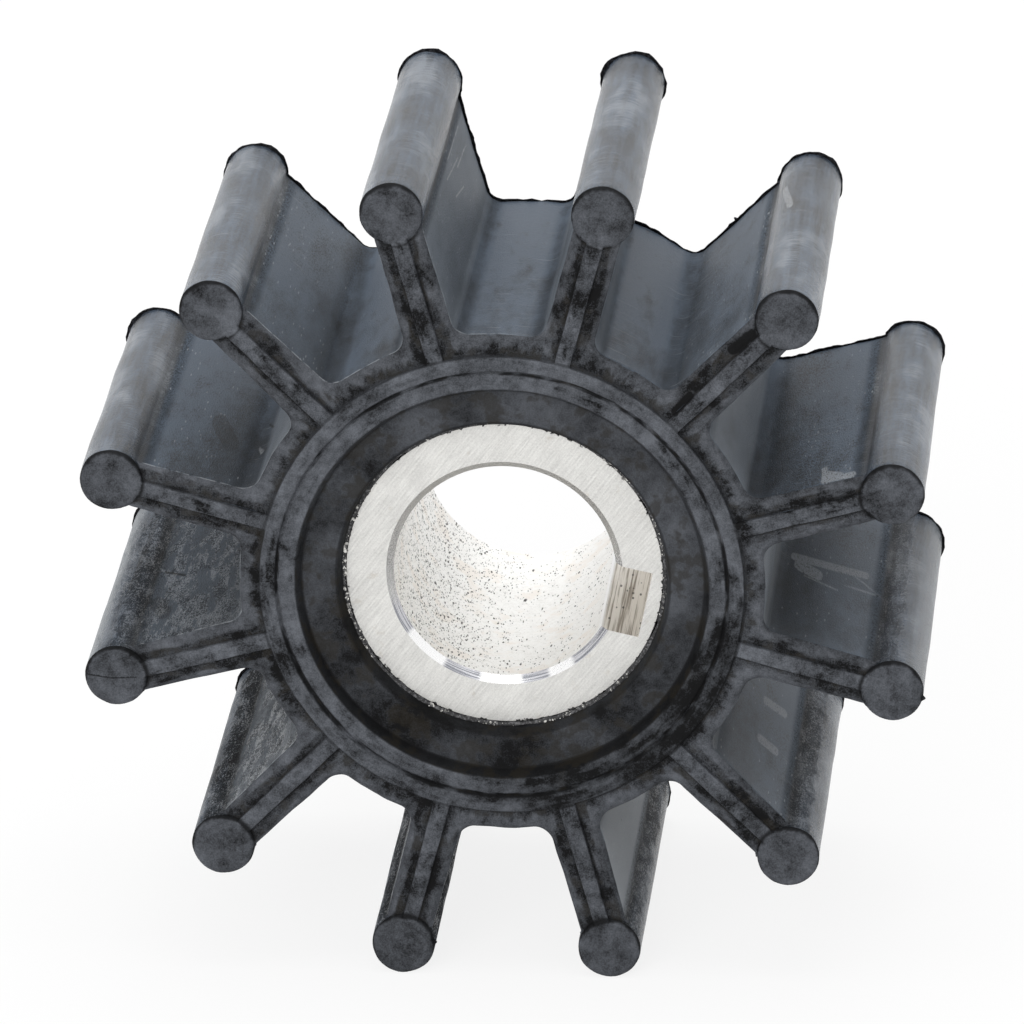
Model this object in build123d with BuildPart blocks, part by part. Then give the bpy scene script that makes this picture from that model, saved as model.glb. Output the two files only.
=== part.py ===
from build123d import *
import os

# Flexible-vane pump impeller: a moulded rubber body bonded to a keyed metal bush.
# Its axis runs along Y through the origin, which is the middle of the bore, and it
# stands on the beads of its two lowest vanes. All lengths are in millimetres.

os.makedirs("parts", exist_ok=True)

# Metal bush and the bore that takes the pump shaft
bore_radius = 8.0
bore_chamfer = 0.5
keyway_width = 5.0
keyway_depth = 2.35
keyway_angle = -12.5
bush_wall = 3.6
bush_edge_chamfer = 0.25
bush_setback = 2.65

# Rubber hub: rings of its end faces, from the recess round the bush outwards
overall_width = 30.7
collar_flare = 0.3
recess_depth = 1.25
recess_radius = 14.85
recess_flare = 0.4
band_width = 1.15
band_drop = 0.2
groove_width = 0.3
groove_depth = 0.15
ridge_width = 1.05
shoulder_width = 1.5

# Vanes, each a web that ends in a round bead
vane_count = 12
bead_circle_radius = 28.85
bead_radius = 2.26
bead_chamfer = 0.25
bead_blend_radius = 0.4
web_root_thickness = 3.7
web_tip_thickness = 3.4
web_root_radius = 1.25
rib_width = 1.15
rib_height = 0.35
edge_bevel = 0.35

# Levels above the middle plane
face_level = overall_width / 2
land_level = face_level - rib_height
band_level = face_level - band_drop
floor_level = face_level - recess_depth
bush_level = face_level - bush_setback

# Radii worked out from the bore and the rings' widths
bush_radius = bore_radius + bush_wall
groove_inner_radius = recess_radius + band_width
ridge_inner_radius = groove_inner_radius + groove_width
groove_middle_radius = groove_inner_radius + groove_width / 2
ridge_outer_radius = ridge_inner_radius + ridge_width
hub_radius = ridge_outer_radius + shoulder_width

# The gap between two vanes points straight down, so that the impeller stands on both
first_vane_angle = 180 / vane_count


# Metal bush with its keyway
with BuildPart() as bush:
    with BuildSketch(Plane.XZ):
        Circle(bush_radius)
        Circle(bore_radius, mode=Mode.SUBTRACT)
    extrude(amount=bush_level, both=True)
    rims = bush.edges().filter_by(GeomType.CIRCLE).group_by(SortBy.RADIUS)
    chamfer(rims[0], length=bore_chamfer)
    rims = bush.edges().filter_by(GeomType.CIRCLE).group_by(SortBy.RADIUS)
    chamfer(rims[-1], length=bush_edge_chamfer)

    # The keyway is cut from the axis outwards, along the whole bore
    with BuildSketch(Plane.XZ):
        with PolarLocations(0, 1, start_angle=keyway_angle):
            Rectangle(
                bore_radius + keyway_depth,
                keyway_width,
                align=(Align.MIN, Align.CENTER),
            )
    extrude(amount=bush_level, both=True, mode=Mode.SUBTRACT)

bush.part.label = "bush"
export_step(bush.part, "parts/bush.step")


def web_outline():
    """One vane's web, along the sketch's X, from inside the hub's ridge to the middle of the bead."""
    Polygon(
        (ridge_outer_radius, -web_root_thickness / 2),
        (bead_circle_radius, -web_tip_thickness / 2),
        (bead_circle_radius, web_tip_thickness / 2),
        (ridge_outer_radius, web_root_thickness / 2),
        align=None,
    )


# Rubber body, made as its front half and mirrored
with BuildPart() as rubber_body:
    # Hub and webs, with rounded roots, up to the bevelled land beside the ribs
    with BuildSketch(Plane.XZ) as hub_and_webs:
        with PolarLocations(0, 1, start_angle=first_vane_angle):
            Circle(hub_radius)
        with PolarLocations(0, vane_count, start_angle=first_vane_angle):
            web_outline()
        root_corners = hub_and_webs.vertices().group_by(SortBy.DISTANCE)[0]
        fillet(root_corners, radius=web_root_radius)
    extrude(amount=land_level)
    chamfer(rubber_body.faces().sort_by(Axis.Y)[0].edges(), length=edge_bevel)

    # Blend of each web into its bead, up to the foot of the bevel
    with BuildSketch(Plane.XZ) as webs_and_beads:
        with PolarLocations(0, vane_count, start_angle=first_vane_angle):
            web_outline()
        with PolarLocations(bead_circle_radius, vane_count, start_angle=first_vane_angle):
            Circle(bead_radius)
        bead_corners = webs_and_beads.vertices().group_by(SortBy.DISTANCE)[1]
        fillet(bead_corners, radius=bead_blend_radius)
    extrude(amount=land_level - edge_bevel)

    # Beads, which stand out to the running face with a broken edge
    with BuildSketch(Plane.XZ):
        with PolarLocations(bead_circle_radius, vane_count, start_angle=first_vane_angle):
            Circle(bead_radius)
    extrude(amount=face_level)
    bead_rims = rubber_body.faces().group_by(Axis.Y)[0].edges()
    chamfer(bead_rims, length=bead_chamfer)

    # Raised rib down the end of each vane, from the ridge to the bead
    with BuildSketch(Plane.XZ):
        with PolarLocations(ridge_inner_radius, vane_count, start_angle=first_vane_angle):
            Rectangle(
                bead_circle_radius - ridge_inner_radius,
                rib_width,
                align=(Align.MIN, Align.CENTER),
            )
    extrude(amount=face_level)

    # Raised band and ridge round the hub, with a groove between them
    with BuildSketch(Plane.XY) as rings:
        with BuildLine():
            Polyline(
                (bush_radius, 0),
                (bush_radius, -band_level),
                (groove_inner_radius, -band_level),
                (groove_middle_radius, -band_level + groove_depth),
                (ridge_inner_radius, -face_level),
                (ridge_outer_radius, -face_level),
                (ridge_outer_radius, 0),
                close=True,
            )
        make_face()
    revolve(axis=Axis.Y)

    # Seat of the bush, the flared collar above it and the recess in the face
    with BuildSketch(Plane.XY) as recess:
        with BuildLine():
            Polyline(
                (0, 0),
                (bush_radius, 0),
                (bush_radius, -bush_level),
                (bush_radius + collar_flare, -floor_level),
                (recess_radius - recess_flare, -floor_level),
                (recess_radius, -band_level),
                (recess_radius, -face_level),
                (0, -face_level),
                close=True,
            )
        make_face()
    revolve(axis=Axis.Y, mode=Mode.SUBTRACT)

    mirror(about=Plane.XZ)

rubber_body.part.label = "rubber_body"
export_step(rubber_body.part, "parts/rubber_body.step")
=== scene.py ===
import random
from math import atan2, cos, pi, radians, sin

import bmesh
import bpy
from mathutils import Matrix, Vector


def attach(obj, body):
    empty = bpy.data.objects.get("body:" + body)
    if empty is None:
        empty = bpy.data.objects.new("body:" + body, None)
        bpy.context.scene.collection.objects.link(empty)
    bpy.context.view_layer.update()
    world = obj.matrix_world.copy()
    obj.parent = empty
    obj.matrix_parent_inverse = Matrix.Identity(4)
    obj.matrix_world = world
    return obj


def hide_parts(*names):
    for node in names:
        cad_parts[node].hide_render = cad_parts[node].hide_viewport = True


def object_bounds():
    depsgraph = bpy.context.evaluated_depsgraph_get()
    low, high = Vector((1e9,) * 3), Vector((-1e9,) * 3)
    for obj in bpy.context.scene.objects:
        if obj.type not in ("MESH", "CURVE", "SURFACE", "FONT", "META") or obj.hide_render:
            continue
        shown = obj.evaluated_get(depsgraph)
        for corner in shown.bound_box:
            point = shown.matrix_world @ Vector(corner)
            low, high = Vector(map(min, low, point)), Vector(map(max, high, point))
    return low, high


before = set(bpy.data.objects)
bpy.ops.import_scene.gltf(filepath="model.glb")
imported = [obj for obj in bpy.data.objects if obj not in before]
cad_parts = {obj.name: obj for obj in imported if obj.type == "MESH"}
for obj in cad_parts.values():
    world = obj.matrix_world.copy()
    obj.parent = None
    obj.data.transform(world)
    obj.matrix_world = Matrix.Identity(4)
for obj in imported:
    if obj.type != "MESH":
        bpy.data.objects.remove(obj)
cad_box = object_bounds()

MM = 0.001
bpy.context.scene.view_settings.view_transform = "Standard"


# Moulded rubber body
# Hub, twelve beaded vanes and the raised rings and ribs of both end faces: one compression
# moulding in hard black rubber. One vane's corner is cut out of the solid's own mesh, its
# edges are rounded as the mould rounds them, and it is set round the bore forty-eight times.
vane_count = 12
first_vane_angle = radians(15)
half_pocket_angle = radians(30)
bead_circle_radius = 28.85
face_level = 15.35
edge_round = 0.09 * MM
join_distance = 0.002 * MM
uneven_end_from = 14.4
cut_reach = 0.001 * MM
along_vane = Vector((cos(first_vane_angle), 0, sin(first_vane_angle)))
across_vane = Vector((-sin(first_vane_angle), 0, cos(first_vane_angle)))
past_pocket = Vector((sin(half_pocket_angle), 0, -cos(half_pocket_angle)))
past_pocket_margin = Vector((sin(half_pocket_angle + 0.05), 0, -cos(half_pocket_angle + 0.05)))


def start_piece(name, node):
    """Adds a copy of a CAD node's mesh, its loose triangles joined, selected and open in edit mode."""
    bpy.ops.object.select_all(action="DESELECT")
    piece = bpy.data.objects.new(name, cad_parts[node].data.copy())
    bpy.context.collection.objects.link(piece)
    piece.select_set(True)
    bpy.context.view_layer.objects.active = piece
    bpy.ops.object.mode_set(mode="EDIT")
    bpy.ops.mesh.select_all(action="SELECT")
    bpy.ops.mesh.customdata_custom_splitnormals_clear()
    bpy.ops.mesh.remove_doubles(threshold=join_distance)
    return piece


def cut_away(place, facing):
    """Cuts the open piece with a plane and drops the side that the plane's back faces."""
    bpy.ops.mesh.select_all(action="SELECT")
    bpy.ops.mesh.bisect(plane_co=place, plane_no=facing, clear_inner=True, threshold=cut_reach)


def wave(piece, name, size, depth, clouds="GRAYSCALE", **settings):
    """Shifts the piece's points by soft noise with features of this size, this far in all."""
    noise = bpy.data.textures.new(name, "CLOUDS")
    noise.cloud_type = clouds
    noise.noise_scale = size * MM
    noise.noise_depth = 1
    shift = piece.modifiers.new(name, "DISPLACE")
    shift.texture = noise
    shift.texture_coords = "LOCAL"
    shift.strength = depth * MM
    shift.mid_level = 0.5
    for setting, value in settings.items():
        setattr(shift, setting, value)
    bpy.ops.object.modifier_apply(modifier=shift.name)


def score(first, last, pitch, direction):
    """Divides the open piece by planes across a direction, at an even pitch."""
    place = first
    while place < last:
        bpy.ops.mesh.select_all(action="SELECT")
        bpy.ops.mesh.bisect(plane_co=direction * place, plane_no=direction, threshold=cut_reach)
        place += pitch


rubber = start_piece("moulded_rubber", "rubber_body")
cut_away(-across_vane * MM, across_vane)
cut_away((0, 0, 0), past_pocket_margin)
cut_away((0, MM, 0), (0, -1, 0))
bpy.ops.mesh.select_all(action="SELECT")
bpy.ops.mesh.dissolve_limited(angle_limit=radians(0.6))
bpy.ops.object.mode_set(mode="OBJECT")
rounding = rubber.modifiers.new("rounding", "BEVEL")
rounding.width = edge_round
rounding.segments = 2
rounding.limit_method = "ANGLE"
rounding.angle_limit = radians(22)
rounding.use_clamp_overlap = False
bpy.ops.object.modifier_apply(modifier=rounding.name)
bpy.ops.object.mode_set(mode="EDIT")
bpy.ops.mesh.select_all(action="SELECT")
bpy.ops.mesh.quads_convert_to_tris(quad_method="BEAUTY", ngon_method="BEAUTY")
cut_away((0, 0, 0), across_vane)
cut_away((0, 0, 0), past_pocket)
cut_away((0, 0, 0), (0, -1, 0))
for first, last, pitch, direction in (
        (12.4, 31.0, 0.85, along_vane), (0.9, 8.0, 0.95, across_vane), (
            -14.2, -1.0, 2.2, Vector((0, 1, 0)))):
    score(first * MM, last * MM, pitch * MM, direction)
bpy.ops.object.mode_set(mode="OBJECT")

# The corner is mirrored across the middle plane and across the vane, then turned to each vane
corner = rubber.data
whole = bmesh.new()
mirror_width = Matrix.Diagonal((1, -1, 1, 1))
mirror_across = Matrix.Rotation(
    -first_vane_angle, 4, "Y") @ Matrix.Diagonal((1, 1, -1, 1)) @ Matrix.Rotation(first_vane_angle, 4, "Y")
for vane in range(vane_count):
    turn = Matrix.Rotation(-vane * 2 * pi / vane_count, 4, "Y")
    for flips in (0, 1, 2, 3):
        place = turn
        if flips & 1:
            place = place @ mirror_across
        if flips & 2:
            place = place @ mirror_width
        part = bmesh.new()
        part.from_mesh(corner)
        part.transform(place)
        if flips in (1, 2):
            bmesh.ops.reverse_faces(part, faces=part.faces)
        copy = bpy.data.meshes.new("corner")
        part.to_mesh(copy)
        part.free()
        whole.from_mesh(copy)
        bpy.data.meshes.remove(copy)
bmesh.ops.remove_doubles(whole, verts=whole.verts, dist=0.0005 * MM)
whole.to_mesh(corner)
whole.free()

# The mould and the hardening leave the surfaces slightly wavy and the edges at both ends uneven
end_points = rubber.vertex_groups.new(name="end_points")
end_points.add(
    [point.index for point in corner.vertices if abs(point.co.y) > uneven_end_from * MM], 1.0, "REPLACE")
wave(rubber, "slow_wave", 6.0, 0.14)
wave(rubber, "edge_wobble", 1.4, 0.10, vertex_group=end_points.name)
rubber.vertex_groups.clear()
bpy.ops.object.shade_smooth_by_angle(angle=radians(35))
rubber.data.materials.clear()


class Finish:
    """A material in the making: its shader, and the steps that colour and roughen the surface."""

    def __init__(self, name):
        self.material = bpy.data.materials.new(name)
        self.material.use_nodes = True
        self.tree = self.material.node_tree
        self.shader = self.tree.nodes["Principled BSDF"]
        self.coords = self.tree.nodes.new("ShaderNodeTexCoord")
        scaled = self.tree.nodes.new("ShaderNodeVectorMath")
        scaled.operation = "SCALE"
        scaled.inputs["Scale"].default_value = 1 / MM
        self.tree.links.new(self.coords.outputs["Object"], scaled.inputs[0])
        self.place = scaled.outputs[0]
        self.x, self.y, self.z = self.split(self.place)

    def feed(self, socket, value):
        """Gives a socket a number, a colour or another step's result."""
        if isinstance(value, bpy.types.NodeSocket):
            self.tree.links.new(value, socket)
        else:
            socket.default_value = value

    def split(self, value):
        step = self.tree.nodes.new("ShaderNodeSeparateXYZ")
        self.feed(step.inputs[0], value)
        return step.outputs

    def join(self, x, y, z):
        step = self.tree.nodes.new("ShaderNodeCombineXYZ")
        for socket, value in zip(step.inputs, (x, y, z)):
            self.feed(socket, value)
        return step.outputs[0]

    def work(self, operation, *values, clamp=False):
        """One step of arithmetic."""
        step = self.tree.nodes.new("ShaderNodeMath")
        step.operation = operation
        step.use_clamp = clamp
        for socket, value in zip(step.inputs, values):
            self.feed(socket, value)
        return step.outputs[0]

    def times(self, *values):
        result = values[0]
        for value in values[1:]:
            result = self.work("MULTIPLY", result, value)
        return result

    def plus(self, *values):
        result = values[0]
        for value in values[1:]:
            result = self.work("ADD", result, value)
        return result

    def most(self, *values):
        result = values[0]
        for value in values[1:]:
            result = self.work("MAXIMUM", result, value)
        return result

    def least(self, first, second):
        return self.work("MINIMUM", first, second)

    def minus(self, first, second):
        return self.work("SUBTRACT", first, second)

    def absolute(self, value):
        return self.work("ABSOLUTE", value)

    def opposite(self, value):
        """Is 1 where the value is 0, and 0 where it is 1."""
        return self.work("SUBTRACT", 1.0, value)

    def round_axis(self):
        """The distance from the bore's axis and the angle round it."""
        distance = self.work("SQRT", self.plus(self.times(self.x, self.x), self.times(self.z, self.z)))
        return distance, self.work("ARCTAN2", self.z, self.x)

    def vector(self, operation, first, second):
        step = self.tree.nodes.new("ShaderNodeVectorMath")
        step.operation = operation
        self.feed(step.inputs[0], first)
        self.feed(step.inputs[1], second)
        return step.outputs["Value"] if operation in (
            "DOT_PRODUCT", "DISTANCE", "LENGTH") else step.outputs[0]

    def stretch(self, value, x, y, z):
        return self.vector("MULTIPLY", value, (x, y, z))

    def eased(self, value, low, high):
        """Goes smoothly from 0 where the value is low to 1 where it is high."""
        step = self.tree.nodes.new("ShaderNodeMapRange")
        step.interpolation_type = "SMOOTHSTEP"
        self.feed(step.inputs["Value"], value)
        rising = high > low
        self.feed(step.inputs["From Min"], low if rising else high)
        self.feed(step.inputs["From Max"], high if rising else low)
        self.feed(step.inputs["To Min"], 0.0 if rising else 1.0)
        self.feed(step.inputs["To Max"], 1.0 if rising else 0.0)
        return step.outputs["Result"]

    def within(self, value, low, high, soft):
        """Is 1 between two values, with soft ends."""
        return self.times(
            self.eased(value, low - soft, low + soft), self.eased(value, high + soft, high - soft))

    def grain(self, place, size, detail=3.0, rough=0.55):
        """Soft random tone with features of this size, about 0.5 on average."""
        step = self.tree.nodes.new("ShaderNodeTexNoise")
        self.feed(step.inputs["Vector"], place)
        step.inputs["Scale"].default_value = 1 / size
        step.inputs["Detail"].default_value = detail
        step.inputs["Roughness"].default_value = rough
        return step.outputs["Fac"]

    def specks(self, place, size, share, radius):
        """Scattered round spots: one in each cell of this size, kept in a share of the cells."""
        step = self.tree.nodes.new("ShaderNodeTexVoronoi")
        self.feed(step.inputs["Vector"], place)
        step.inputs["Scale"].default_value = 1 / size
        picked = self.work("LESS_THAN", self.split(step.outputs["Color"])[0], share)
        spot = self.eased(step.outputs["Distance"], radius / size, 0.6 * radius / size)
        return self.times(picked, spot)

    def stroke(self, place, start, end, width, soft):
        """A mark along the line from one point to another, this wide and fading at its edge."""
        line = Vector(end) - Vector(start)
        offset = self.vector("SUBTRACT", place, start)
        share = self.work(
            "DIVIDE", self.vector("DOT_PRODUCT", offset, tuple(line)), line.length_squared, clamp=True)
        nearest = self.tree.nodes.new("ShaderNodeVectorMath")
        nearest.operation = "SCALE"
        nearest.inputs[0].default_value = line
        self.feed(nearest.inputs["Scale"], share)
        away = self.vector("DISTANCE", offset, nearest.outputs[0])
        return self.eased(away, width / 2 + soft, max(width / 2 - soft, 0.0))

    def tones(self, place, size):
        """Soft random colour with features of this size, to shift a pattern by."""
        step = self.tree.nodes.new("ShaderNodeTexNoise")
        self.feed(step.inputs["Vector"], place)
        step.inputs["Scale"].default_value = 1 / size
        return step.outputs["Color"]

    def level(self, amount, first, second):
        """A number between two others."""
        step = self.tree.nodes.new("ShaderNodeMix")
        self.feed(step.inputs[0], amount)
        self.feed(step.inputs[2], first)
        self.feed(step.inputs[3], second)
        return step.outputs[0]

    def tint(self, amount, first, second):
        """A colour between two others, which are given as red, green and blue."""
        step = self.tree.nodes.new("ShaderNodeMix")
        step.data_type = "RGBA"
        self.feed(step.inputs[0], amount)
        for socket, value in ((step.inputs[6], first), (step.inputs[7], second)):
            self.feed(socket, (*value, 1.0) if isinstance(value, tuple) else value)
        return step.outputs[2]

    def relief(self, height, depth):
        """Raises the shaded surface by a height of 0 to 1, times a depth in millimetres."""
        step = self.tree.nodes.new("ShaderNodeBump")
        self.feed(step.inputs["Height"], height)
        step.inputs["Distance"].default_value = depth * MM
        self.tree.links.new(step.outputs[0], self.shader.inputs["Normal"])


# Rubber finish
# Black rubber with a pale bluish bloom of dust. The end faces are matt: rubbed pale on what stands
# proud, dark and dirty beside the ribs and in the recess, with painted shade in the grooves and creases.
# The pockets and beads between them are glossier, and are abraded on the lower vanes; painted light
# and shade mark how light falls on them.
clean_black = (0.0045, 0.0046, 0.0050)
dirty_brown = (0.0150, 0.0125, 0.0085)
rubbed_grey = (0.112, 0.120, 0.136)
side_black = (0.0075, 0.0078, 0.0085)
pocket_blue = (0.080, 0.104, 0.138)
pocket_pale = (0.185, 0.208, 0.235)
smooth_blue = (0.022, 0.032, 0.048)
bead_grey = (0.080, 0.106, 0.146)
# The pale bead colour serves both dust on the beads and painted light and glints
pale_dust_and_light = (0.31, 0.33, 0.35)
grit_grey = (0.235, 0.255, 0.275)
# The white serves both real scuffs and nicks and a painted highlight along the pocket edges
scuff_and_highlight_white = (0.36, 0.38, 0.40)
vane_angle = 2 * pi / vane_count
dirtiest_side = radians(-52)
shaded_side = radians(240)
side_squeeze = (1.0, 0.35, 1.0)
mark_softness = 0.06
rib_half_width = 0.575
recess_radius = 14.85
groove_start, groove_end = 15.95, 16.28
ridge_radius = 17.35
hub_radius = 18.85
bead_radius = 2.26


class RubberFinish(Finish):
    """A finish that knows its place: round the hub, along the nearest vane and below the end face."""

    def __init__(self, name):
        super().__init__(name)
        self.radius, self.turn = self.round_axis()
        self.vane_number = self.work("FLOOR", self.work("DIVIDE", self.turn, vane_angle))
        off_vane = self.minus(self.work("FLOORED_MODULO", self.turn, vane_angle), vane_angle / 2)
        self.along = self.times(self.radius, self.work("COSINE", off_vane))
        self.across = self.times(self.radius, self.work("SINE", off_vane))
        self.aside = self.absolute(self.across)
        self.from_bead = self.work("SQRT", self.plus(
            self.work(
                "POWER", self.minus(self.along, bead_circle_radius),
                2.0), self.times(self.across, self.across)))
        self.below_face = self.minus(face_level, self.absolute(self.y))
        end_number = self.work("SIGN", self.y)
        self.on_vane = self.join(
            self.along, self.across,
            self.plus(self.times(self.vane_number, 9.0), self.times(end_number, 3.0)))
        self.on_ring = self.join(self.radius, self.times(self.turn, 17.0), self.times(end_number, 5.0))
        self.on_side = self.stretch(self.place, *side_squeeze)
        self.blotches = self.grain(self.place, 1.5, 3.0, 0.6)

    def shaken(self, slow, quick):
        """The squeezed place, shifted by two grains so that marks get ragged outlines."""
        slow_shift = self.times(self.plus(slow, -0.5), 0.40)
        quick_shift = self.times(self.plus(quick, -0.5), 0.16)
        return self.vector("ADD", self.on_side, self.join(slow_shift, quick_shift, quick_shift))

    def strokes(self, place, marks):
        """Several marks together, each a start, an end and a width."""
        squeeze = Vector(side_squeeze)
        return self.most(*[
            self.stroke(place, Vector(start) * squeeze, Vector(end) * squeeze, width, mark_softness)
            for start, end, width in marks])


# End faces: pale ribs and discs, and dark land beside them, most of all against the ribs
ends = RubberFinish("dusty_rubber_ends")
patches = ends.grain(ends.place, 5.0, 2.0, 0.55)
mottle = ends.grain(ends.place, 0.45, 2.0, 0.65)
fine_grain = ends.grain(ends.place, 0.10, 2.0, 0.7)
smears = ends.grain(ends.stretch(ends.on_vane, 0.30, 1.0, 1.0), 0.9, 3.0, 0.55)
ring_smears = ends.grain(ends.stretch(ends.on_ring, 1.2, 0.30, 1.0), 0.9, 3.0, 0.58)
toward_dirt = ends.work("COSINE", ends.minus(ends.turn, dirtiest_side))
dirty_side = ends.eased(toward_dirt, 0.50, 0.97)
raised = ends.eased(ends.below_face, 0.33, 0.20)
beside_rib = ends.least(ends.minus(ends.aside, rib_half_width), ends.minus(ends.radius, ridge_radius))
dirt_reach = ends.plus(-0.55, ends.times(smears, 2.4))
dark_strip = ends.eased(ends.minus(beside_rib, dirt_reach), 0.30, -0.30)
uneven = ends.plus(
    ends.times(patches, 1.1), ends.times(ends.blotches, 1.7), ends.times(mottle, 0.7),
    ends.times(fine_grain, 1.2), -2.35)
on_disc = ends.eased(ends.from_bead, bead_radius - 0.06, bead_radius - 0.26)
raised_bloom = ends.plus(0.47, ends.times(uneven, ends.level(on_disc, 1.0, 0.75)))
land_bloom = ends.plus(
    ends.level(dark_strip, 0.50, 0.16), ends.times(uneven, ends.level(dark_strip, 0.8, 0.95)))
end_bloom = ends.level(raised, land_bloom, raised_bloom)
end_bloom = ends.minus(
    end_bloom, ends.times(ends.eased(smears, 0.44, 0.32), raised, ends.level(on_disc, 0.35, 0.08)))

# Rings: dark patches drawn out round the hub, most of them low on the right, and the dark recess, with
# painted shade toward its lower left
in_ring = ends.eased(ends.radius, ridge_radius + 0.25, ridge_radius - 0.05)
in_recess = ends.eased(ends.radius, recess_radius + 0.05, recess_radius - 0.45)
ring_dirt = ends.eased(ends.minus(ring_smears, ends.plus(0.40, ends.times(dirty_side, 0.12))), 0.13, -0.12)
ring_bloom = ends.plus(
    0.62, ends.times(uneven, ends.level(dirty_side, 0.85, 0.55)),
    ends.times(ring_dirt, ends.level(dirty_side, -0.42, -0.30)), ends.times(dirty_side, -0.30))
end_bloom = ends.level(in_ring, end_bloom, ring_bloom)
# Painted shade: the recess darkens toward its lower left
toward_shade = ends.work("COSINE", ends.minus(ends.turn, shaded_side))
recess_bloom = ends.plus(
    0.06, ends.times(uneven, 0.45), ends.times(patches, 0.8),
    ends.times(ends.eased(toward_shade, -1.0, 1.0), -0.28))
end_bloom = ends.level(in_recess, end_bloom, recess_bloom)

# Painted shade in dark lines: the upper edge of each disc, thickest at its top, the groove, the wall of the
# recess, darkest low down, and the foot of the ridge and of the ribs. The collar round the bush is darkened
# too
disc_height = ends.times(
    bead_circle_radius, ends.work("SINE", ends.times(ends.plus(ends.vane_number, 0.5), vane_angle)))
up_disc = ends.minus(ends.z, disc_height)
rim_start = ends.plus(1.80, ends.times(ends.blotches, 0.50), ends.times(up_disc, -0.06))
disc_rim = ends.times(
    ends.eased(ends.minus(ends.from_bead, rim_start), 0.0, 0.22),
    ends.eased(ends.from_bead, 2.6, 2.3), ends.eased(ends.below_face, 0.5, 0.3))
groove_dark = ends.times(
    ends.within(ends.radius, groove_start, groove_end, 0.06), ends.eased(ring_smears, 0.62, 0.45))
ridge_edge = ends.within(ends.radius, ridge_radius - 0.05, ridge_radius + 0.17, 0.07)
wall_dark = ends.times(
    ends.within(ends.radius, recess_radius - 0.50, recess_radius + 0.01, 0.08),
    ends.level(ends.eased(ends.z, -9.0, 9.0), 1.0, 0.45))
rib_foot = ends.times(
    ends.eased(ends.absolute(ends.minus(ends.aside, rib_half_width + 0.085)), 0.16, 0.02),
    ends.eased(ends.radius, 17.4, 17.8), ends.eased(ends.from_bead, 2.1, 2.3), ends.eased(smears, 0.60, 0.45))
collar_edge = ends.within(ends.radius, 11.3, 12.05, 0.08)
crease_shade_and_dark_collar = ends.most(
    disc_rim, groove_dark, wall_dark, ends.times(ridge_edge, 0.6), ends.times(rib_foot, 0.6),
    ends.times(collar_edge, 0.7))
end_bloom = ends.times(ends.most(end_bloom, 0.0), ends.level(crease_shade_and_dark_collar, 1.0, 0.12))
end_colour = ends.tint(end_bloom, clean_black, rubbed_grey)
browned = ends.times(dark_strip, ends.opposite(raised), ends.eased(ends.blotches, 0.48, 0.62), 0.6)
end_colour = ends.tint(browned, end_colour, dirty_brown)

# The crack in one vane's end disc and two black smudges on the land
cracks = ends.strokes(ends.shaken(mottle, fine_grain), [
    ((-30.1, -15.3, -7.3), (-28.2, -15.4, -7.6), 0.09),
    ((-28.2, -15.3, -7.6), (-26.4, -15.4, -7.5), 0.07),
    ((-30.2, -15.4, -7.1), (-29.5, -15.4, -6.2), 0.07),
    ((16.6, -15.0, 18.1), (17.9, -15.0, 19.3), 0.75),
    ((12.5, -15.0, 13.4), (13.5, -15.0, 14.6), 0.60),
])
ends.feed(ends.shader.inputs["Base Color"], ends.tint(ends.times(cracks, 0.95), end_colour, clean_black))
ends.feed(ends.shader.inputs["Roughness"], ends.plus(0.62, ends.times(mottle, 0.2)))
ends.shader.inputs["Specular IOR Level"].default_value = 0.09
ends.relief(mottle, 0.035)

# Pocket walls: smooth bluish floors, walls with a brownish speckle. Painted shade darkens them toward the
# roots, in the corners where walls meet floors and deep in the lower right pockets; painted light makes them
# paler toward the back end and where walls face the light
sides = RubberFinish("glossy_rubber_sides")
side_patches = sides.grain(sides.on_side, 2.6, 2.0, 0.55)
side_blotches = sides.grain(sides.on_side, 0.8, 3.0, 0.6)
side_grain = sides.grain(sides.on_side, 0.11, 3.0, 0.8)
floor_zone = sides.eased(sides.radius, hub_radius + 1.35, hub_radius + 0.35)
low_side = sides.eased(sides.z, 3.0, -9.0)
left_side = sides.eased(sides.x, 6.0, -8.0)
rubbed_side = sides.times(low_side, left_side)
long_patches = sides.grain(
    sides.join(sides.along, sides.times(sides.y, 0.22), sides.times(sides.vane_number, 7.0)), 0.9, 3.0, 0.6)
smooth_patch = sides.times(rubbed_side, sides.eased(long_patches, 0.50, 0.43))
worn = sides.minus(rubbed_side, smooth_patch)
ragged_along = sides.plus(sides.along, sides.times(side_grain, 1.2), sides.times(side_blotches, 1.6), -1.4)
low_band = sides.times(
    low_side, sides.level(left_side, 0.50, 0.85), sides.eased(ragged_along, 28.9, 28.2),
    sides.eased(sides.along, 26.4, 27.0))
grit = sides.eased(
    sides.plus(side_grain, sides.times(side_blotches, 0.5), -0.25, sides.times(low_band, -0.08)), 0.42,
    0.57)
nicks = sides.specks(sides.stretch(sides.place, 1.0, 0.20, 1.0), 0.28, 0.40, 0.065)
pinholes = sides.specks(sides.place, 1.5, 0.22, 0.09)
wear = sides.grain(sides.on_vane, 4.5, 2.0, 0.5)
abraded = sides.level(sides.eased(wear, 0.42, 0.60), 2.4, 5.0)
grain_lift = sides.times(sides.minus(side_grain, 0.5), sides.level(floor_zone, abraded, 0.8))
pocket_bloom = sides.plus(
    0.50, sides.times(side_patches, 1.5), sides.times(side_blotches, 1.3), grain_lift, -1.15)
# Painted shade: darker toward each vane's root, and in the corner where wall meets floor
root_shade = sides.times(sides.eased(sides.along, 17.6, 27.5), sides.opposite(floor_zone))
pocket_bloom = sides.times(
    pocket_bloom, sides.plus(sides.times(root_shade, 1.1), sides.level(floor_zone, 0.50, 1.55)))
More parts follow.
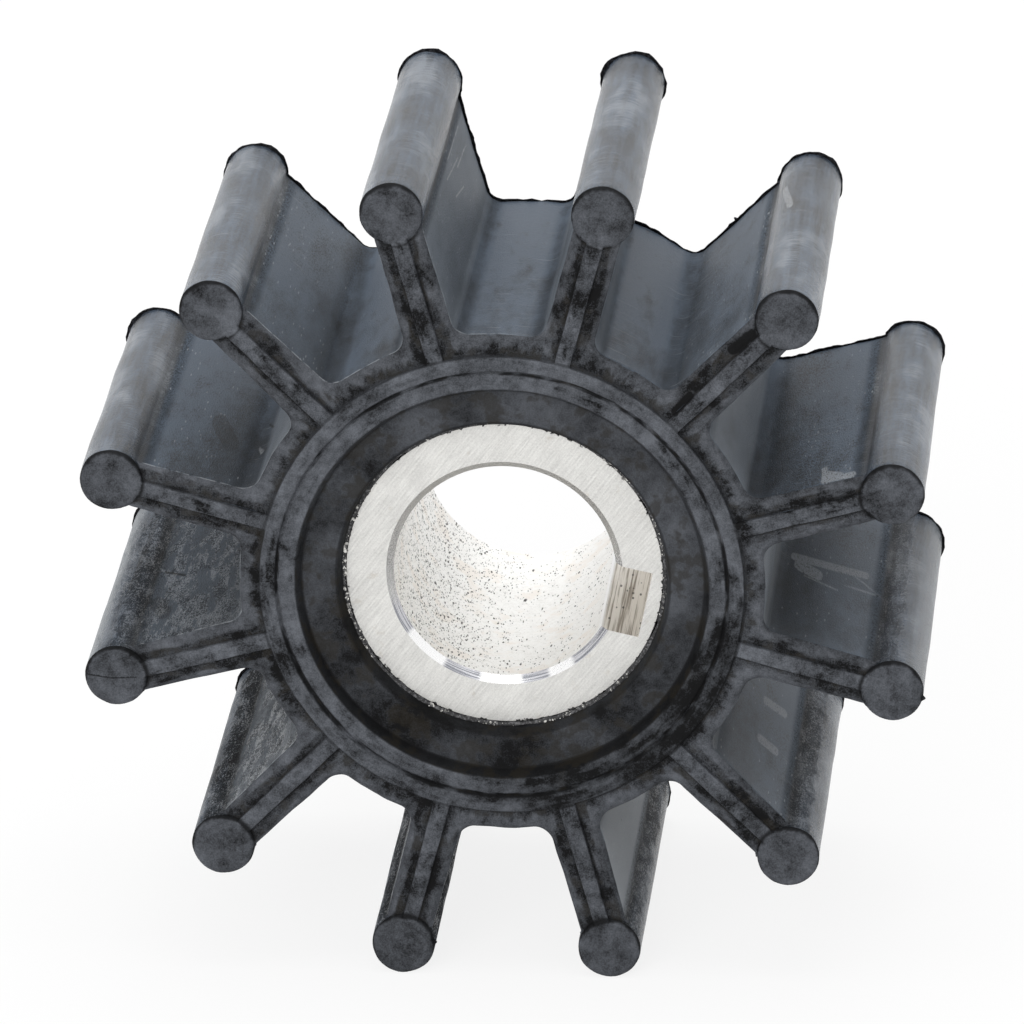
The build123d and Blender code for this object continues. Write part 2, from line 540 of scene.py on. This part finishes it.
# Painted light from behind: the walls grow paler toward the back end
pocket_bloom = sides.times(
    sides.most(pocket_bloom, 0.0), sides.level(sides.eased(sides.y, -16.0, 14.0), 0.55, 1.35))
corner_shade = sides.times(sides.within(sides.aside, 1.7, 2.7, 0.45), sides.eased(sides.radius, 21.2, 19.4))
pocket_bloom = sides.times(pocket_bloom, sides.level(corner_shade, 1.0, 0.45))
pocket_colour = sides.tint(pocket_bloom, side_black, pocket_blue)
facing = sides.split(sides.coords.outputs["Normal"])[0]
upright = sides.eased(sides.absolute(facing), 0.55, 0.95)
lit_wall = sides.times(
    sides.most(sides.times(low_side, sides.level(left_side, 0.45, 1.0)), upright),
    sides.level(side_patches, 0.3, 0.9))
pocket_colour = sides.tint(
    sides.times(lit_wall, sides.level(worn, 1.0, grit)), pocket_colour,
    sides.tint(worn, pocket_pale, grit_grey))
pocket_colour = sides.tint(sides.times(worn, sides.opposite(grit), 0.60), pocket_colour, side_black)
pocket_colour = sides.tint(sides.times(smooth_patch, 0.55), pocket_colour, smooth_blue)
# Painted light: low walls that face right, and gritty low walls that face left, are paler
painted_wall_light = sides.times(
    low_side,
    sides.most(
        sides.eased(facing, 0.80, 0.97),
        sides.times(sides.eased(facing, -0.45, -0.70), sides.level(grit, 0.3, 1.0))))
pocket_colour = sides.tint(sides.times(painted_wall_light, 0.55), pocket_colour, pale_dust_and_light)
# Painted shade deep in the lower right pockets, near the floor and toward the roots
low_right = sides.times(low_side, sides.opposite(left_side))
deep_pocket_shade = sides.times(
    low_right,
    sides.most(
        floor_zone, sides.times(sides.eased(sides.along, 25.5, 20.0), sides.eased(sides.z, -13.0, -9.0))))
pocket_colour = sides.tint(sides.times(deep_pocket_shade, 0.6), pocket_colour, side_black)
nick_share = sides.times(sides.level(floor_zone, 0.40, 0.03), sides.eased(side_patches, 0.36, 0.60))
pocket_colour = sides.tint(sides.times(nicks, nick_share), pocket_colour, scuff_and_highlight_white)

# Beads: paler, brushed round at their ends, with a grainy dark band where each meets its vane; painted shade
# darkens each bead toward its neck, painted light brightens the outer halves of the lower left beads, and
# glints are painted in the worn band
brushed = sides.grain(sides.stretch(sides.place, 0.25, 2.6, 0.25), 0.35, 2.0, 0.65)
streaks = sides.grain(sides.stretch(sides.place, 1.0, 0.05, 1.0), 0.55, 2.0, 0.6)
bead_bloom = sides.plus(
    0.50, sides.times(side_patches, 1.5), sides.times(side_blotches, 0.7), sides.times(side_grain, 0.8),
    sides.times(brushed, 0.6), sides.times(streaks, 1.2), -2.34)
# Painted shade: each bead darkens toward its neck
bead_neck_shade = sides.eased(sides.along, 28.3, 26.8)
bead_bloom = sides.times(sides.most(bead_bloom, 0.0), sides.level(bead_neck_shade, 1.1, 0.35))
bead_colour = sides.tint(bead_bloom, side_black, bead_grey)
bead_dust = sides.eased(sides.plus(side_patches, sides.times(brushed, 0.4)), 0.70, 0.92)
bead_colour = sides.tint(sides.times(bead_dust, 0.40), bead_colour, pale_dust_and_light)
# Painted light: the outer halves of the lower left beads are lit pale
bead_colour = sides.tint(
    sides.times(
        sides.eased(sides.z, 9.0, -6.0), sides.eased(sides.along, 28.9, 30.4),
        sides.level(left_side, 0.4, 0.9)),
    bead_colour, pale_dust_and_light)
bead_colour = sides.tint(sides.times(low_band, sides.opposite(grit), 0.92), bead_colour, side_black)
# Painted glints: pale specks in the dark worn band
bead_colour = sides.tint(
    sides.times(low_band, sides.eased(side_grain, 0.57, 0.66), 0.45), bead_colour, pale_dust_and_light)
bead_zone = sides.eased(sides.from_bead, bead_radius + 0.49, bead_radius + 0.14)
side_colour = sides.tint(bead_zone, pocket_colour, bead_colour)
seam_zone = sides.within(sides.along, 26.35, 27.5, 0.35)
side_colour = sides.tint(
    sides.times(seam_zone, sides.eased(side_grain, 0.42, 0.62), 0.80), side_colour, side_black)
side_colour = sides.tint(
    sides.times(seam_zone, nicks, sides.eased(side_patches, 0.45, 0.60), 0.5), side_colour, scuff_and_highlight_white)
side_colour = sides.tint(pinholes, side_colour, side_black)
# Painted highlight along the rounded edges next to both end faces, on the left vanes, broken into patches
edge_highlight = sides.times(
    sides.within(sides.below_face, 0.66, 0.86, 0.06), left_side, sides.eased(side_blotches, 0.35, 0.55))
side_colour = sides.tint(sides.times(edge_highlight, sides.opposite(bead_zone), 0.50), side_colour, scuff_and_highlight_white)

# Scuffs and scratches that use has left on single vanes
marks_place = sides.shaken(side_blotches, side_grain)
pale_marks = sides.strokes(marks_place, [
    ((20.0, 0.9, -3.5), (25.2, 1.1, -5.0), 0.50),
    ((20.4, -0.4, -3.6), (21.8, -1.4, -4.0), 0.75),
    ((20.9, -2.2, -3.7), (23.2, -3.2, -4.4), 0.10),
    ((23.8, -1.9, -4.5), (26.0, -2.2, -5.2), 0.12),
    ((24.4, 0.4, -4.7), (26.6, -2.6, -5.4), 0.10),
    ((17.8, 2.2, -15.3), (19.1, 3.0, -16.6), 0.55),
    ((17.8, -5.2, -15.3), (18.9, -4.8, -16.5), 0.55),
    ((22.9, -11.7, 8.0), (23.0, -13.9, 8.0), 0.45),
    ((23.0, -13.9, 8.0), (25.0, -14.0, 8.5), 0.45),
    ((23.1, -12.9, 8.0), (24.1, -13.8, 8.3), 0.60),
    ((18.9, 8.5, 22.1), (19.5, 4.0, 22.5), 0.45),
    ((-17.9, -7.4, 7.0), (-18.6, -5.4, 7.1), 0.30),
    ((-27.3, 2.4, -5.3), (-26.0, -0.2, -5.2), 0.12),
    ((-16.3, -9.0, -13.8), (-16.1, -12.0, -13.5), 0.90),
])
scratches = sides.strokes(marks_place, [
    ((-5.12, 3.0, 25.85), (-5.10, 11.0, 25.7), 0.14),
    ((-4.95, 0.5, 25.2), (-4.80, 7.0, 24.6), 0.12),
    ((-4.70, 6.0, 24.3), (-4.60, 12.0, 24.0), 0.14),
    ((-4.45, 2.0, 23.4), (-4.30, 6.0, 22.8), 0.10),
])
dark_marks = sides.strokes(marks_place, [
    ((-26.0, -0.2, -5.2), (-24.3, -2.0, -4.7), 0.14),
    ((-17.9, -1.7, 7.0), (-16.9, -4.6, 7.6), 0.14),
    ((26.9, 5.5, -5.4), (29.4, 4.2, -6.0), 0.12),
    ((26.9, 4.2, -5.4), (28.8, 2.6, -5.6), 0.12),
])
stains = sides.strokes(marks_place, [
    ((-25.0, -9.2, -4.8), (-25.9, -6.6, -5.1), 0.90),
    ((-21.4, -3.0, 7.6), (-20.2, -6.6, 7.3), 1.10),
    ((-13.6, -4.0, -13.9), (-14.6, 2.0, -13.6), 0.80),
])
drag_lines = sides.grain(
    sides.join(
        sides.times(sides.along, 0.16), sides.times(sides.y, 1.7), sides.times(sides.vane_number, 5.0)),
    0.4, 2.0, 0.6)
dragged = sides.times(sides.eased(wear, 0.50, 0.62), sides.eased(drag_lines, 0.60, 0.70), 0.22)
marked = sides.times(
    sides.most(sides.times(pale_marks, 0.52), sides.times(scratches, 0.85)),
    sides.eased(side_grain, 0.30, 0.52))
side_colour = sides.tint(sides.most(marked, dragged), side_colour, scuff_and_highlight_white)
side_colour = sides.tint(
    sides.most(sides.times(dark_marks, 0.9), sides.times(stains, 0.45)), side_colour, side_black)
sides.feed(sides.shader.inputs["Base Color"], side_colour)

# The beads are the glossiest; whatever is abraded, or lies where wall and floor meet, is duller
side_rough = sides.level(bead_zone, sides.level(floor_zone, 0.44, 0.36), 0.10)
dull_zone = sides.most(
    seam_zone, corner_shade, deep_pocket_shade, smooth_patch,
    sides.times(sides.most(bead_neck_shade, sides.times(low_band, 0.6)), bead_zone))
side_rough = sides.plus(side_rough, sides.times(side_grain, 0.18), sides.times(dull_zone, 0.30))
gritty = sides.most(sides.times(worn, 0.85), sides.times(low_band, bead_zone))
side_rough = sides.level(gritty, side_rough, sides.level(grit, 1.0, 0.26))
sides.feed(sides.shader.inputs["Roughness"], side_rough)
sides.shader.inputs["Specular IOR Level"].default_value = 0.26
rough_skin = sides.times(low_side, sides.most(left_side, bead_zone))
sides.relief(sides.times(side_grain, sides.level(rough_skin, 1.7, 4.5)), 0.035)

rubber.data.materials.append(sides.material)
rubber.data.materials.append(ends.material)
dusty_slope = 0.5
dusty_radius = 18.5
dusty_rim_level = 15.02
for face in rubber.data.polygons:
    centre = face.center
    on_end = abs(face.normal.y) > dusty_slope or abs(centre.y) > dusty_rim_level * MM
    if on_end or Vector((centre.x, centre.z)).length < dusty_radius * MM:
        face.material_index = 1
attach(rubber, "root")
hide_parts("rubber_body")


# Metal bush
# A short thick ring of light grey metal, probably stainless steel: turned, bored for a 16 mm shaft
# and broached along its whole length for a 5 mm key. The rubber is bonded round it in the mould.
bush_face_level = 12.7
bore_radius = 8.0
bush = start_piece("turned_bush", "bush")
bpy.ops.object.mode_set(mode="OBJECT")
bpy.ops.object.shade_smooth_by_angle(angle=radians(25))
bush.data.materials.clear()
silver = (0.72, 0.715, 0.69)
dull_silver = (0.50, 0.495, 0.48)
stain_brown = (0.42, 0.36, 0.28)
bore_white = (0.97, 0.965, 0.945)
bore_dull = (0.66, 0.64, 0.60)
keyway_white = (0.97, 0.94, 0.89)
keyway_brown = (0.38, 0.335, 0.28)
polished_highlight_white = (0.97, 0.97, 0.97)
polished_grey = (0.66, 0.66, 0.69)
polished_dark = (0.30, 0.31, 0.34)
chamfer_upper_shade = (0.66, 0.655, 0.64)
bore_brown = (0.80, 0.68, 0.56)
pit_black = (0.05, 0.048, 0.045)
cement_black = (0.010, 0.010, 0.010)

metal = Finish("turned_bush_metal")
bush_radius, bush_turn = metal.round_axis()
bush_facing = metal.absolute(metal.split(metal.coords.outputs["Normal"])[1])

# Face: rubbed on abrasive paper in straight slanting lines, with a few stains
slant = radians(52)
rub_along = metal.plus(metal.times(metal.x, cos(slant)), metal.times(metal.z, sin(slant)))
rub_across = metal.minus(metal.times(metal.z, cos(slant)), metal.times(metal.x, sin(slant)))
rubbed = metal.grain(
    metal.join(metal.times(rub_along, 0.20), metal.times(rub_across, 3.4), 0.0), 0.5, 4.0, 0.7)
metal_cloud = metal.grain(metal.place, 2.6, 3.0, 0.6)
metal_grain = metal.grain(metal.place, 0.12, 2.0, 0.6)
face_tone = metal.plus(
    metal.times(rubbed, 2.0), metal.times(metal_cloud, 0.8), metal.times(metal_grain, 1.2), -1.45)
face_colour = metal.tint(metal.least(face_tone, 1.0), dull_silver, silver)
stained = metal.times(metal.eased(metal.grain(metal.place, 1.4, 4.0, 0.65), 0.60, 0.75), 0.35)
face_colour = metal.tint(stained, face_colour, stain_brown)

# Bore: matt, cast-grey pits scattered over fine turning rings
round_bore = metal.join(metal.times(bush_turn, bore_radius), metal.times(metal.y, 0.4), 0.0)
pit_place = metal.vector("ADD", round_bore, metal.stretch(metal.tones(round_bore, 0.3), 0.25, 0.25, 0.0))
pitted_side = metal.plus(
    0.15,
    metal.times(metal.eased(metal.work("COSINE", metal.minus(bush_turn, radians(190))), 0.1, 0.9), 0.60))
pits = metal.most(
    metal.specks(pit_place, 0.34, pitted_side, 0.085),
    metal.specks(pit_place, 1.6, 0.40, 0.17),
    metal.specks(metal.vector("ADD", pit_place, (3.3, 7.1, 0.0)), 0.20, pitted_side, 0.055),
    metal.times(
        metal.specks(metal.vector("ADD", pit_place, (9.1, 2.7, 0.0)), 0.13, pitted_side, 0.045), 0.7))
turning = metal.grain(metal.stretch(pit_place, 0.5, 2.2, 1.0), 0.30, 3.0, 0.65)
bore_tone = metal.plus(
    metal.times(turning, 1.3), metal.times(metal_grain, 1.6), metal.times(metal_cloud, 0.8), -0.87)
bore_colour = metal.tint(metal.least(bore_tone, 1.0), bore_dull, bore_white)
bore_colour = metal.tint(metal.times(metal.eased(metal_cloud, 0.50, 0.66), 0.30), bore_colour, bore_brown)
bore_colour = metal.tint(pits, bore_colour, pit_black)

# Keyway: broached, with brown stripes along it
stripes = metal.grain(metal.stretch(metal.place, 2.6, 0.04, 2.6), 0.55, 4.0, 0.7)
keyway_colour = metal.tint(metal.eased(stripes, 0.38, 0.56), keyway_brown, keyway_white)
keyway_pits = metal.specks(metal.stretch(metal.place, 1.0, 0.35, 1.0), 0.45, 0.55, 0.10)
keyway_colour = metal.tint(metal.times(keyway_pits, 0.85), keyway_colour, pit_black)

# Chamfer of the bore: polished, with turning rings; its bright lengths low down are painted reflection and
# its upper half is dulled as painted shade. Edge of the bush: black with cement
degrees_round = metal.times(metal.work("FLOORED_MODULO", bush_turn, 2 * pi), 180 / pi)
chamfer_highlights = metal.most(
    *[metal.within(degrees_round, start, stop, 1.5)
    for start, stop in ((214, 238), (257, 278), (292, 306))])
ring_lines = metal.grain(
    metal.join(metal.times(bush_radius, 6.0), metal.times(bush_turn, 0.8), 0.0), 0.5, 2.0, 0.5)
chamfer_dark = metal.tint(metal.eased(ring_lines, 0.42, 0.58), polished_dark, polished_grey)
chamfer_dark = metal.tint(
    metal.times(metal.within(degrees_round, 5, 196, 6.0), 0.85), chamfer_dark, chamfer_upper_shade)
chamfer_colour = metal.tint(chamfer_highlights, chamfer_dark, polished_highlight_white)

on_face = metal.eased(bush_facing, 0.85, 0.97)
on_slope = metal.times(metal.eased(bush_facing, 0.3, 0.5), metal.opposite(on_face))
edge_chips = metal.eased(metal.grain(metal.place, 0.55, 2.0, 0.6), 0.52, 0.64)
outer = metal.eased(
    metal.plus(bush_radius, metal.times(metal_grain, 0.24), metal.times(edge_chips, 0.15)), 11.46, 11.54)
in_keyway = metal.eased(bush_radius, bore_radius + 0.08, bore_radius + 0.16)
# Painted highlight: a white line on the bore wall at one corner of the keyway
keyway_corner = metal.within(degrees_round, 325.6, 329.6, 0.5)
wall_colour = metal.tint(in_keyway, metal.tint(keyway_corner, bore_colour, polished_highlight_white), keyway_colour)
metal_colour = metal.tint(on_slope, wall_colour, chamfer_colour)
metal_colour = metal.tint(on_face, metal_colour, face_colour)
metal_colour = metal.tint(outer, metal_colour, cement_black)
metal.feed(metal.shader.inputs["Base Color"], metal_colour)
metal.feed(metal.shader.inputs["Metallic"], metal.times(0.9, metal.opposite(outer)))
metal.feed(
    metal.shader.inputs["Roughness"],
    metal.level(on_slope, metal.plus(0.36, metal.times(rubbed, 0.2)), 0.22))
wall_relief = metal.minus(metal.times(turning, 0.3), pits)
metal.relief(metal.level(metal.most(on_face, on_slope), wall_relief, metal.times(rubbed, 0.5)), 0.03)
bush.data.materials.append(metal.material)
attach(bush, "root")
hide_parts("bush")


# Bonding cement
# A thin black line of cement that squeezed out round both ends of the bush when the rubber was
# moulded to it, with pale crumbs of dried cement and scale caught in it.
cement_radius = 11.60
cement_thickness = 0.21
smallest_crumb = 0.028
heap_spread = 2.2
bpy.ops.object.select_all(action="DESELECT")
bpy.ops.mesh.primitive_torus_add(
    major_radius=cement_radius * MM, minor_radius=cement_thickness * MM, major_segments=420, minor_segments=8,
    location=(0, -bush_face_level * MM, 0), rotation=(pi / 2, 0, 0))
cement = bpy.context.object
cement.name = "bonding_cement"
bpy.ops.object.mode_set(mode="EDIT")
bpy.ops.mesh.select_all(action="SELECT")
bpy.ops.mesh.duplicate()
bpy.ops.transform.translate(value=(0, 2 * bush_face_level * MM, 0))
bpy.ops.object.mode_set(mode="OBJECT")
bpy.ops.object.transform_apply(location=True, rotation=True, scale=True)
wave(cement, "cement_swell", 1.6, 0.30)
wave(cement, "cement_lumps", 0.35, 0.16)
bpy.ops.object.shade_smooth()
tar = Finish("black_cement")
tar_grain = tar.grain(tar.place, 0.18, 3.0, 0.6)
tar.feed(
    tar.shader.inputs["Base Color"],
    tar.tint(tar.eased(tar_grain, 0.46, 0.66), (0.012, 0.012, 0.013), (0.13, 0.13, 0.135)))
tar.feed(tar.shader.inputs["Roughness"], tar.level(tar_grain, 0.5, 0.9))
tar.relief(tar_grain, 0.05)
cement.data.materials.append(tar.material)
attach(cement, "root")

# Crumbs: most of them lie where dirt gathers, at the left and along the bottom of the ring
chance = random.Random(12)
bpy.ops.object.select_all(action="DESELECT")
bpy.ops.mesh.primitive_ico_sphere_add(
    subdivisions=1, radius=0.05 * MM, location=(0, -bush_face_level * MM, cement_radius * MM))
crumbs = bpy.context.object
crumbs.name = "cement_crumbs"
bpy.ops.object.transform_apply(location=True, rotation=True, scale=True)
bpy.ops.object.mode_set(mode="EDIT")
for first, last, count, largest in (
        (
            150, 215, 110,
            0.17), (215, 300, 70, 0.13), (95, 150, 38, 0.11), (300, 345, 24, 0.13), (30, 95, 40, 0.10),
        (-15, 30, 30, 0.11), (32, 51, 16, 0.26), (14, 27, 10, 0.22)):
    heaps = [chance.uniform(first, last) for heap in range(count // 5)]
    for crumb in range(count):
        around = radians(chance.choice(heaps) + chance.gauss(0, heap_spread))
        out = chance.uniform(cement_radius - 0.20, cement_radius + 0.26)
        size = smallest_crumb + (largest - smallest_crumb) * chance.random() ** 2.2
        bpy.ops.mesh.primitive_ico_sphere_add(
            subdivisions=1, radius=size * MM, scale=(
                chance.uniform(0.7, 1.8), chance.uniform(0.7, 1.4), chance.uniform(0.5, 0.9)),
            rotation=(chance.uniform(0, pi), chance.uniform(0, pi), chance.uniform(0, pi)),
            location=(
                out * cos(around) * MM, -(bush_face_level + cement_thickness * 0.9) * MM,
                out * sin(around) * MM))
bpy.ops.object.mode_set(mode="OBJECT")
flake = Finish("pale_crumb")
flake_tone = flake.grain(flake.place, 0.28, 2.0, 0.7)
flake.feed(
    flake.shader.inputs["Base Color"],
    flake.tint(flake.eased(flake_tone, 0.40, 0.62), (0.16, 0.155, 0.15), (0.80, 0.79, 0.75)))
flake.feed(flake.shader.inputs["Roughness"], flake.level(flake_tone, 0.6, 0.9))
crumbs.data.materials.append(flake.material)
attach(crumbs, "root")


# Mould flash
# A torn black skin of rubber round the outline of the back face, where it squeezed out between
# the mould's plates. It is a tenth of a millimetre thick and was never trimmed.
flash_level = 14.56
flash_reach = 0.15
flash_root = 0.12
flash_thickness = 0.12
bead_flash_level = 15.02
bead_flash_reach = 2.5
bead_flash_neck = 1.5
inside_hub = 16.5
flash = start_piece("mould_flash", "rubber_body")
bpy.ops.mesh.select_all(action="SELECT")
bpy.ops.mesh.bisect(
    plane_co=(0, flash_level * MM, 0), plane_no=(0, 1, 0), clear_inner=True, clear_outer=True,
    threshold=cut_reach)
for longest, pieces in ((3.0, 24), (0.5, 2)):
    bpy.ops.mesh.select_all(action="DESELECT")
    bpy.ops.object.mode_set(mode="OBJECT")
    for edge in flash.data.edges:
        first, last = (flash.data.vertices[corner].co for corner in edge.vertices)
        edge.select = (first - last).length > longest * MM
    bpy.ops.object.mode_set(mode="EDIT")
    bpy.ops.mesh.subdivide(number_cuts=pieces)
bpy.ops.mesh.select_all(action="DESELECT")
bpy.ops.object.mode_set(mode="OBJECT")
for point in flash.data.vertices:
    point.select = Vector((point.co.x, 0, point.co.z)).length < inside_hub * MM
bpy.ops.object.mode_set(mode="EDIT")
bpy.ops.mesh.delete(type="VERT")
bpy.ops.mesh.select_all(action="SELECT")
bpy.ops.mesh.extrude_region_move(TRANSFORM_OT_translate={"value": (0, flash_thickness * MM, 0)})
bpy.ops.mesh.select_all(action="SELECT")
bpy.ops.mesh.normals_make_consistent(inside=False)
bpy.ops.object.mode_set(mode="OBJECT")
tip = max(flash.data.polygons, key=lambda face: face.center.length)
faces_inwards = tip.normal.dot(tip.center) < 0
bpy.ops.object.mode_set(mode="EDIT")
if faces_inwards:
    bpy.ops.mesh.flip_normals()
bpy.ops.object.mode_set(mode="OBJECT")
flash.vertex_groups.new(name="rooted_edge")
skin_depth = flash.modifiers.new("root_and_reach", "SOLIDIFY")
skin_depth.thickness = (flash_root + flash_reach) * MM
skin_depth.offset = (flash_reach - flash_root) / (flash_root + flash_reach)
skin_depth.use_even_offset = True
skin_depth.shell_vertex_group = "rooted_edge"
bpy.ops.object.modifier_apply(modifier=skin_depth.name)
for point in flash.data.vertices:
    angle_off = (atan2(point.co.z, point.co.x) % (2 * pi / vane_count)) - pi / vane_count
    reach = Vector((point.co.x, point.co.z)).length
    off_centre = Vector((reach * cos(angle_off) - bead_circle_radius * MM, reach * sin(angle_off)))
    if off_centre.length < bead_flash_reach * MM and off_centre.x > -bead_flash_neck * MM:
        point.co.y += (bead_flash_level - flash_level) * MM
for name, size, depth in (("flash_width", 1.9, 0.36), ("flash_tears", 0.45, 0.18)):
    wave(
        flash, name, size, depth, "COLOR", direction="RGB_TO_XYZ", vertex_group="rooted_edge",
        invert_vertex_group=True)
flash.vertex_groups.clear()

# Burrs: small torn points that stand out from the flash and from the rims of two beads
bpy.ops.object.mode_set(mode="EDIT")
for x, y, z, angle, length in (
        (14.96, 14.65, 17.64, 137, 0.44), (20.7, 14.65, 7.45, 105, 0.28), (9.75, 15.05, 27.62, 20, 0.24),
        (3.99, 14.65, 22.13, 165, 0.35), (-5.15, -15.1, -27.7, 5, 0.24), (30.12, -15.1, -8.0, -10, 0.26),
        (-20.2, 15.05, 22.6, 110, 0.26), (-14.1, 14.65, 16.7, 50, 0.28)):
    bpy.ops.mesh.primitive_cone_add(
        vertices=7, radius1=0.26 * MM, radius2=0.05 * MM, depth=length * MM,
        location=(x * MM, y * MM, z * MM), rotation=(0, radians(90 - angle), 0))
bpy.ops.object.mode_set(mode="OBJECT")
bpy.ops.object.shade_smooth_by_angle(angle=radians(40))
flash.data.materials.clear()
torn_rubber = Finish("torn_black_rubber")
torn_grain = torn_rubber.grain(torn_rubber.place, 0.25, 3.0, 0.6)
torn_rubber.feed(
    torn_rubber.shader.inputs["Base Color"],
    torn_rubber.tint(
        torn_rubber.eased(torn_grain, 0.45, 0.75), (0.004, 0.004, 0.005), (0.035, 0.035, 0.040)))
torn_rubber.feed(torn_rubber.shader.inputs["Roughness"], torn_rubber.level(torn_grain, 0.7, 0.95))
torn_rubber.shader.inputs["Specular IOR Level"].default_value = 0.1
flash.data.materials.append(torn_rubber.material)
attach(flash, "root")


# Studio
# The white table that the impeller stands on, soft light from above and in front, and the camera
# at the photograph's angle. None of it is part of the object.
floor_level = cad_box[0][2]
bpy.ops.object.select_all(action="DESELECT")
bpy.ops.mesh.primitive_plane_add(size=6, location=(0, 0, floor_level))
floor = bpy.context.object
floor.name = "table"


def seen_directly(tree, largest):
    """Is this value where the camera or a reflection sees a surface, and 0 where it only lights."""
    rays = tree.nodes.new("ShaderNodeLightPath")
    seen = rays.outputs["Is Camera Ray"]
    for other in ("Is Glossy Ray", "Is Transmission Ray"):
        either = tree.nodes.new("ShaderNodeMath")
        either.operation = "MAXIMUM"
        tree.links.new(seen, either.inputs[0])
        tree.links.new(rays.outputs[other], either.inputs[1])
        seen = either.outputs[0]
    share = tree.nodes.new("ShaderNodeMath")
    share.operation = "MULTIPLY"
    share.inputs[1].default_value = largest
    tree.links.new(seen, share.inputs[0])
    return share.outputs[0]


floor_finish = bpy.data.materials.new("white_table")
floor_finish.use_nodes = True
floor_tree = floor_finish.node_tree
floor_tree.nodes["Principled BSDF"].inputs["Base Color"].default_value = (0.9, 0.9, 0.9, 1)
floor_tree.nodes["Principled BSDF"].inputs["Roughness"].default_value = 0.9
floor_tree.nodes["Principled BSDF"].inputs["Specular IOR Level"].default_value = 0
seen_white = floor_tree.nodes.new("ShaderNodeEmission")
seen_mix = floor_tree.nodes.new("ShaderNodeMixShader")
floor_tree.links.new(seen_directly(floor_tree, 0.85), seen_mix.inputs[0])
floor_tree.links.new(floor_tree.nodes["Principled BSDF"].outputs[0], seen_mix.inputs[1])
floor_tree.links.new(seen_white.outputs[0], seen_mix.inputs[2])
floor_tree.links.new(seen_mix.outputs[0], floor_tree.nodes["Material Output"].inputs["Surface"])
floor.data.materials.append(floor_finish)

world = bpy.data.worlds.new("white_surround")
bpy.context.scene.world = world
world.use_nodes = True
sky = world.node_tree
sky_light = sky.nodes["Background"]
sky_light.inputs["Color"].default_value = (1, 1, 1, 1)
sky_light.inputs["Strength"].default_value = 0.6
sky_seen = sky.nodes.new("ShaderNodeBackground")
sky_seen.inputs["Color"].default_value = (1, 1, 1, 1)
sky_mix = sky.nodes.new("ShaderNodeMixShader")
sky.links.new(seen_directly(sky, 1.0), sky_mix.inputs[0])
sky.links.new(sky_light.outputs[0], sky_mix.inputs[1])
sky.links.new(sky_seen.outputs[0], sky_mix.inputs[2])
sky.links.new(sky_mix.outputs[0], sky.nodes["World Output"].inputs["Surface"])


def softbox(name, place, aim, width, height, power):
    """A rectangular lamp at a place, facing the point it is aimed at."""
    lamp = bpy.data.lights.new(name, "AREA")
    lamp.shape = "RECTANGLE"
    lamp.size = width
    lamp.size_y = height
    lamp.energy = power
    holder = bpy.data.objects.new(name, lamp)
    bpy.context.collection.objects.link(holder)
    holder.location = place
    holder.visible_camera = False
    holder.rotation_euler = (Vector(aim) - Vector(place)).to_track_quat("-Z", "Y").to_euler()


softbox("overhead_softbox", (0.0, 0.10, 0.90), (0, 0, 0), 0.8, 0.8, 4.5)
softbox("back_softbox", (0.0, 1.20, 0.75), (0, 0, 0), 1.6, 0.6, 1.0)
softbox("front_fill", (-0.30, -1.00, 0.45), (0, 0, 0), 0.6, 0.6, 6.5)

camera = bpy.data.cameras.new("photo_camera")
camera.lens = 355.99
camera.sensor_width = 36
camera.clip_start = 0.05
stand = bpy.data.objects.new("photo_camera", camera)
bpy.context.collection.objects.link(stand)
stand.location = (0.060307, -0.68654, 0.25832)
stand.rotation_euler = (radians(69.447), radians(0.6788), radians(4.8094))
bpy.context.scene.camera = stand
